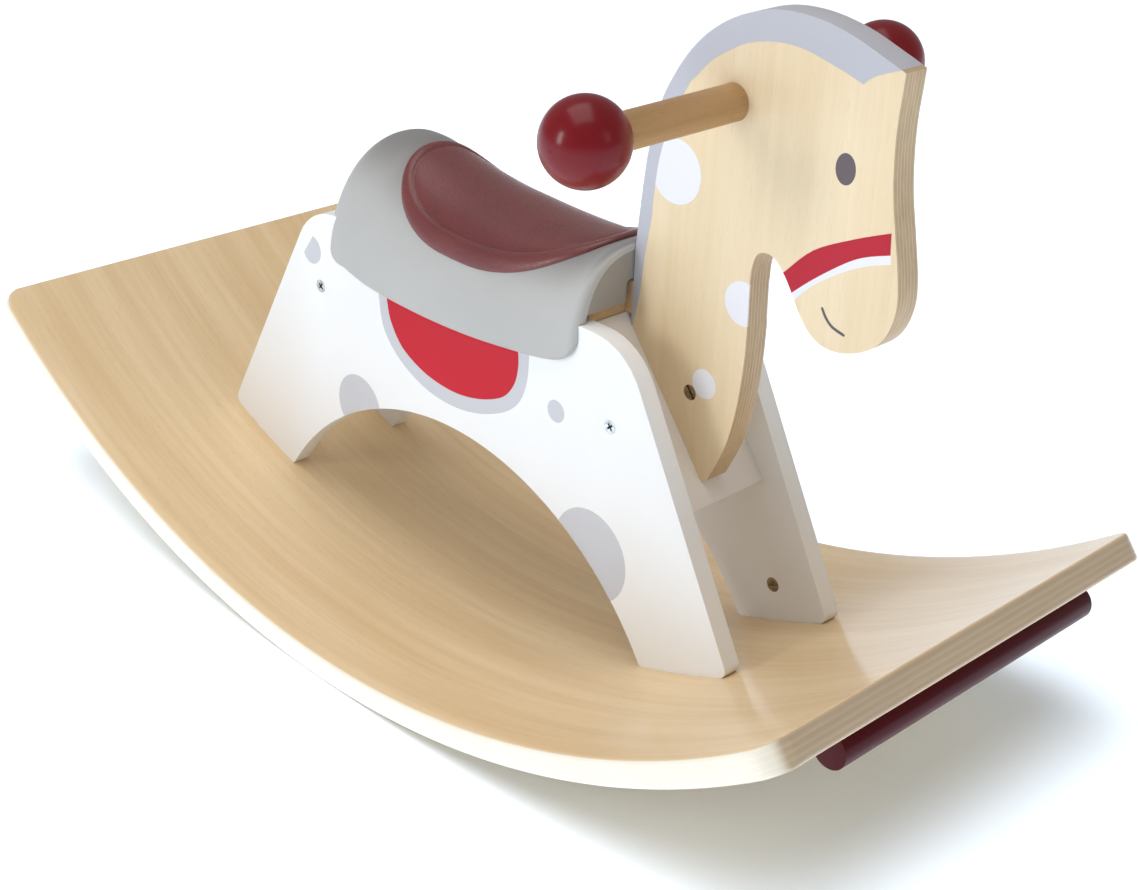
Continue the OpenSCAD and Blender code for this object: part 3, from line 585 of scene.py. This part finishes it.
# The pad's reach to the front and rear, its half-width, and the squareness of each half of its outline
PAD_FRONT, PAD_REAR, PAD_HALF, PAD_FRONT_SQUARE, PAD_REAR_SQUARE = 99, 87, 53, 2.2, 3
# The pad's bead: half-width and height; height of the seat, depth of the crease, and the gap under the pad
BEAD_HALF, BEAD_H, SEAT_H, CREASE_DEPTH, PAD_GAP = 4.6, 3.2, 2.7, 2, 0.2


def saddle_row(x):
    """The saddle's measures at x, by the curve through SADDLE_ROWS."""
    passed = sum(1 for row in SADDLE_ROWS if row[0] <= x)
    near = neighbours(SADDLE_ROWS, max(0, min(len(SADDLE_ROWS) - 2, passed - 1)))
    start, length = near[1][0], near[2][0] - near[1][0]
    t = (x - start) / length
    for _ in range(8):
        t += (x - between(*near, t)[0]) / length
    return between(*near, t)


def body_point(row, side, share, t):
    """Point of the section at row, share 0 at the crest and 1 at the hem, t outside the form."""
    x, w, crest, n, hem = row
    a = math.acos(((hem - BASE_Z) / (crest - BASE_Z)) ** (n / 2) if hem > BASE_Z else 0) * share
    return (x, side * (w + t) * math.sin(a) ** (2 / n) if a > 0 else 0,
            BASE_Z + (crest - BASE_Z + t) * math.cos(a) ** (2 / n))


def rear_point(turn, share, t):
    """Point of the round rear end on the half plane at turn, which goes from -90 to 90 degrees."""
    row = saddle_row(REAR_X)
    n = row[3]
    s, c = abs(math.sin(turn)), math.cos(turn)
    reach = (s**n + c**REAR_SQUARE) ** REAR_POWER
    hem = row[4] + (REAR_HEM - row[4]) * c**2
    a = math.acos(((hem - BASE_Z) / (row[2] - BASE_Z)) ** (n / 2)) * share
    out = math.sin(a) ** (2 / n) if a > 0 else 0
    return (REAR_X - (REAR_LEN + t) * c * reach * out, math.copysign((row[1] + t) * s * reach * out, turn),
            BASE_Z + (row[2] - BASE_Z + t) * math.cos(a) ** (2 / n))


def profile(point, t_out, t_in, crest_steps=44, lip_steps=6):
    """One half section of the shell: crest to hem outside, round the hem, and back to the crest inside."""
    shares = [1 - (1 - k / crest_steps) ** 1.15 for k in range(crest_steps + 1)]
    outer = [point(s, t_out) for s in shares]
    inner = [point(s, t_in) for s in reversed(shares)]
    a, b = Vector(outer[-1]), Vector(inner[0])
    down = (Vector(outer[-1]) - Vector(outer[-2])).normalized()
    middle, half = (a + b) / 2, (a - b) / 2
    lip = [middle + half * math.cos(v) + down * half.length * math.sin(v)
           for v in (math.pi * k / lip_steps for k in range(1, lip_steps))]
    return outer + lip + inner


def saddle_shell():
    """The moulding as half sections along one side, round the rear end and back along the other side."""
    round_x = FRONT_X - FRONT_R
    rows = []
    for k in range(ROUND_STEPS, 0, -1):
        v = math.pi / 2 * k / ROUND_STEPS
        outer = FRONT_R * (math.cos(v) - 1)
        rows.append((saddle_row(round_x + FRONT_R * math.sin(v)), outer, min(-SHELL_T, outer - FRONT_T)))
    for k in range(LONG_STEPS, 0, -1):
        rows.append((saddle_row(REAR_X + (round_x - REAR_X) * k / LONG_STEPS), 0, -SHELL_T))
    turns = [math.radians(-90 + 180 * k / REAR_STEPS) for k in range(REAR_STEPS + 1)]
    sections = [profile(partial(body_point, row, -1), outer, inner) for row, outer, inner in rows]
    sections += [profile(partial(rear_point, turn), 0, -SHELL_T) for turn in turns]
    sections += [profile(partial(body_point, row, 1), outer, inner) for row, outer, inner in reversed(rows)]
    n = len(sections[0])
    points = [p for s in sections for p in s]
    faces = [[i * n + j, (i + 1) * n + j, (i + 1) * n + j + 1, i * n + j + 1]
             for i in range(len(sections) - 1) for j in range(n - 1)]
    return solid("saddle_moulding", points, faces, LOOKS["saddle_grey"], 60)


def front_wall():
    """Wall that closes the front of the shell, with a notch round the neck block."""
    x0, x1, low, notch_w, notch_z, r, sunk = 110, 113.2, 262, 14, 276.5, 2.5, 4.9
    row = saddle_row(x1)
    shares = [k / 30 for k in range(31)]
    top = [body_point(row, -1, s, -sunk) for s in reversed(shares)]
    top += [body_point(row, 1, s, -sunk) for s in shares]
    top = [(y, z) for _, y, z in top if z > low]
    turns = [math.radians(15 * k) for k in range(1, 7)]
    bottom = [(top[-1][0], low), (notch_w, low), (notch_w, notch_z - r)]
    bottom += [(notch_w - r + r * math.cos(v), notch_z - r + r * math.sin(v)) for v in turns]
    bottom += [(-y, z) for y, z in reversed(bottom[1:])] + [(top[0][0], low)]
    outline = top + bottom
    n = len(outline)
    points = [(x0, y, z) for y, z in outline] + [(x1, y, z) for y, z in outline]
    faces = ring_faces(0, n) + [list(range(n)), list(range(2 * n - 1, n - 1, -1))]
    # Painted shade: the wall takes the darkened copy of the saddle's plastic.
    return solid("saddle_front_wall", points, faces, WALL_SHADED_GREY, 35)


shell = without(saddle_shell(), ("right_side_panel", "left_side_panel"), 0.3, 60)
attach(shell, "root")
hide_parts("saddle_shell")
wall = front_wall()
wall_edge = wall.modifiers.new("edge", "BEVEL")
wall_edge.width, wall_edge.segments, wall_edge.angle_limit = 0.35 * MM, 3, math.radians(50)
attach(wall, "root")


# ---------- Saddle pad ----------

def surface_at(x, y, t):
    """Point of the saddle's form over x and y, t outside it."""
    _, w, crest, n, _ = saddle_row(x)
    return (x, y, BASE_Z + (crest - BASE_Z + t) * (1 - min(0.999, abs(y) / (w + t)) ** n) ** (1 / n))


def pad_rim(a):
    """Point of the pad's outline in plan, a full turn round it."""
    c, s = math.cos(a), math.sin(a)
    reach, square = (PAD_FRONT, PAD_FRONT_SQUARE) if c > 0 else (PAD_REAR, PAD_REAR_SQUARE)
    return Vector((math.copysign(reach * abs(c) ** (2 / square), c),
                   math.copysign(PAD_HALF * abs(s) ** (2 / square), s)))


def pad_height(d, x):
    """Height of the pad's skin at distance d from its rim: a round bead, a crease and the seat."""
    bead = math.sqrt(max(0, 1 - (d / BEAD_HALF - 1) ** 2))
    crease = (0.25 + 0.75 / (1 + math.exp(-(x + 35) / 14))) * math.exp(-max(0, d - 8) / 4)
    return PAD_GAP + 0.05 + max(BEAD_H * bead, SEAT_H - CREASE_DEPTH * crease if d > BEAD_HALF else 0)


def saddle_pad():
    """The pad as closed rings from its rim to its middle, above and below."""
    turns, inner_d, inner_steps = 160, 14, 16
    rims = [pad_rim(math.tau * (i + 0.5) / turns) for i in range(turns)]
    normals = [(rims[i - 1] - rims[(i + 1) % turns]).orthogonal().normalized() for i in range(turns)]
    depths = [0, 0.1, 0.3, 0.65, 1.1, 1.7, 2.4, 3.2, 4.1, 5.1, 6.2, 7.1, 7.8, 8.3, 8.7, 9.1, 9.6, 10.3, 11.2,
              12.4, inner_d]
    plan = [(d, [p - n * d for p, n in zip(rims, normals)]) for d in depths]
    ring = plan[-1][1]
    plan += [(inner_d + i * 2.4, [p * (1 - i / inner_steps) for p in ring]) for i in range(1, inner_steps)]
    top = [surface_at(p.x, p.y, pad_height(d, p.x)) for d, ring in plan for p in ring]
    low = [surface_at(p.x, p.y, PAD_GAP) for _, ring in plan for p in ring]
    points = top + low + [surface_at(0, 0, pad_height(PAD_HALF - 1, 0)), surface_at(0, 0, PAD_GAP)]
    half = len(top)
    faces = [[(i + 1) % turns, half + (i + 1) % turns, half + i, i] for i in range(turns)]
    for start, tip in ((0, 2 * half), (half, 2 * half + 1)):
        last = start + half - turns
        for first in range(start, last, turns):
            faces += ring_faces(first, turns)
        faces += [[last + i, last + (i + 1) % turns, tip] for i in range(turns)]
    return solid("seat_pad", points, faces, LOOKS["saddle_red"], 70)


pad = saddle_pad()
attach(pad, "root")
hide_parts("saddle_pad")


# ---------- Studio ----------

FLOOR_HALF = 14
AIM = Vector((0.08, 0, 0.22))
CAMERA_PLACE, CAMERA_LENS = (0.87827, -0.82759, 0.72918), 61.83
CAMERA_HEADING, CAMERA_DOWN, CAMERA_ROLL = 44.84, 26.95, 2.57


def floor_look():
    """Matt white studio sweep."""
    look = Look("floor_white", Specular_IOR_Level=0.3, Emission_Color=(0.9, 1.0, 1.1, 1),
                Emission_Strength=0.06)
    cloud = look.noise(look.scaled(0.8, 0.8, 0.8), detail=2)
    look.colour(look.mix(cloud, (0.77, 0.865, 0.975), (0.79, 0.885, 0.99)))
    look.roughness(look.step(cloud, 0.3, 0.7, 0.55, 0.65))
    return look.material


corners = [(x * FLOOR_HALF, y * FLOOR_HALF, 0) for x, y in ((-1, -1), (1, -1), (1, 1), (-1, 1))]
floor_mesh = bpy.data.meshes.new("floor")
floor_mesh.from_pydata(corners, [], [(0, 1, 2, 3)])
floor_mesh.materials.append(floor_look())
floor = bpy.data.objects.new("floor", floor_mesh)
bpy.context.scene.collection.objects.link(floor)
floor.location.z = cad_box[0][2] - 0.0002

world = bpy.data.worlds.new("studio")
bpy.context.scene.world = world
world.use_nodes = True
world.node_tree.nodes["Background"].inputs["Color"].default_value = (1.0, 1.0, 1.0, 1)
world.node_tree.nodes["Background"].inputs["Strength"].default_value = 0.37


def lamp_at(name, light, direction, distance):
    """Lamp at that distance from the horse's middle, turned to it."""
    lamp = bpy.data.objects.new(name, light)
    bpy.context.scene.collection.objects.link(lamp)
    lamp.location = AIM + Vector(direction).normalized() * distance
    lamp.rotation_euler = (AIM - lamp.location).to_track_quat("-Z", "Y").to_euler()
    return lamp


def softbox(name, direction, distance, width, height, watts, tint=(1, 1, 1)):
    """Rectangular area lamp turned to the horse's middle."""
    light = bpy.data.lights.new(name, "AREA")
    light.shape, light.size, light.size_y, light.energy = "RECTANGLE", width, height, watts
    light.color = tint
    return lamp_at(name, light, direction, distance)


softbox("key", (-0.28, -0.915, 0.30), 2.4, 0.4, 0.95, 13.5)
softbox("top", (-0.10, -0.15, 1.0), 2.3, 2.2, 1.6, 24)
softbox("fill", (0.887, 0.163, 0.43), 2.6, 0.6, 0.8, 2.2, (1, 0.72, 0.48))

# A wide sun that lights the floor only, so the sweep stays white and keeps a soft shadow under the board
sun = bpy.data.lights.new("floor_sun", "SUN")
sun.energy, sun.angle = 2.7, math.radians(42)
floor_sun = lamp_at("floor_sun", sun, (0.05, -0.4, 1.0), 3)
lit_by_sun = bpy.data.collections.new("lit_by_floor_sun")
lit_by_sun.objects.link(floor)
floor_sun.light_linking.receiver_collection = lit_by_sun

camera_data = bpy.data.cameras.new("camera")
camera_data.sensor_width, camera_data.lens, camera_data.sensor_fit = 36, CAMERA_LENS, "HORIZONTAL"
camera_data.dof.use_dof = False
camera = bpy.data.objects.new("camera", camera_data)
bpy.context.scene.collection.objects.link(camera)
view = Matrix.Translation(CAMERA_PLACE)
for angle, axis in ((CAMERA_HEADING, "Z"), (90 - CAMERA_DOWN, "X"), (CAMERA_ROLL, "Z")):
    view = view @ Matrix.Rotation(math.radians(angle), 4, axis)
camera.matrix_world = view
bpy.context.scene.camera = camera
bpy.context.scene.view_settings.view_transform = "Standard"
bpy.context.scene.view_settings.look = "None"
